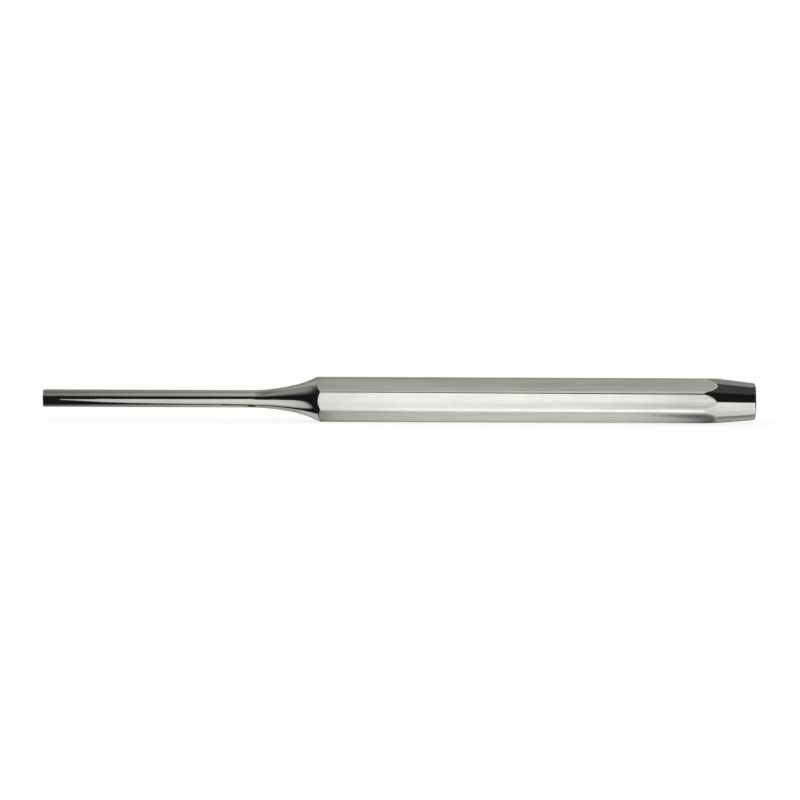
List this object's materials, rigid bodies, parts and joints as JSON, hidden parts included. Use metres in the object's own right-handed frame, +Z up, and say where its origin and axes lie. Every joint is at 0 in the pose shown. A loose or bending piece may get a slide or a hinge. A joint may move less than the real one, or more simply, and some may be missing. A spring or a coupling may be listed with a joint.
{
  "type": "pin punch",
  "caption": "Slim steel pin punch: octagonal shank, tapered and bevelled struck head, and a smooth hollow neck that narrows to a long straight drive pin.",
  "frame": {"origin": "centre of the drive tip's flat face, on the axis of the punch", "axes": "+X runs along the axis from the drive tip to the struck end, +Z is up, and the punch lies on the flat of its shank that faces -Z"},
  "size_m": [0.16, 0.01, 0.01],
  "materials": {
    "tool_steel": "flats ground lengthwise to a satin sheen; pin, neck and head turned and polished"
  },
  "bodies": {
    "root": {"punch": "tool_steel"}
  },
  "joints": []
}
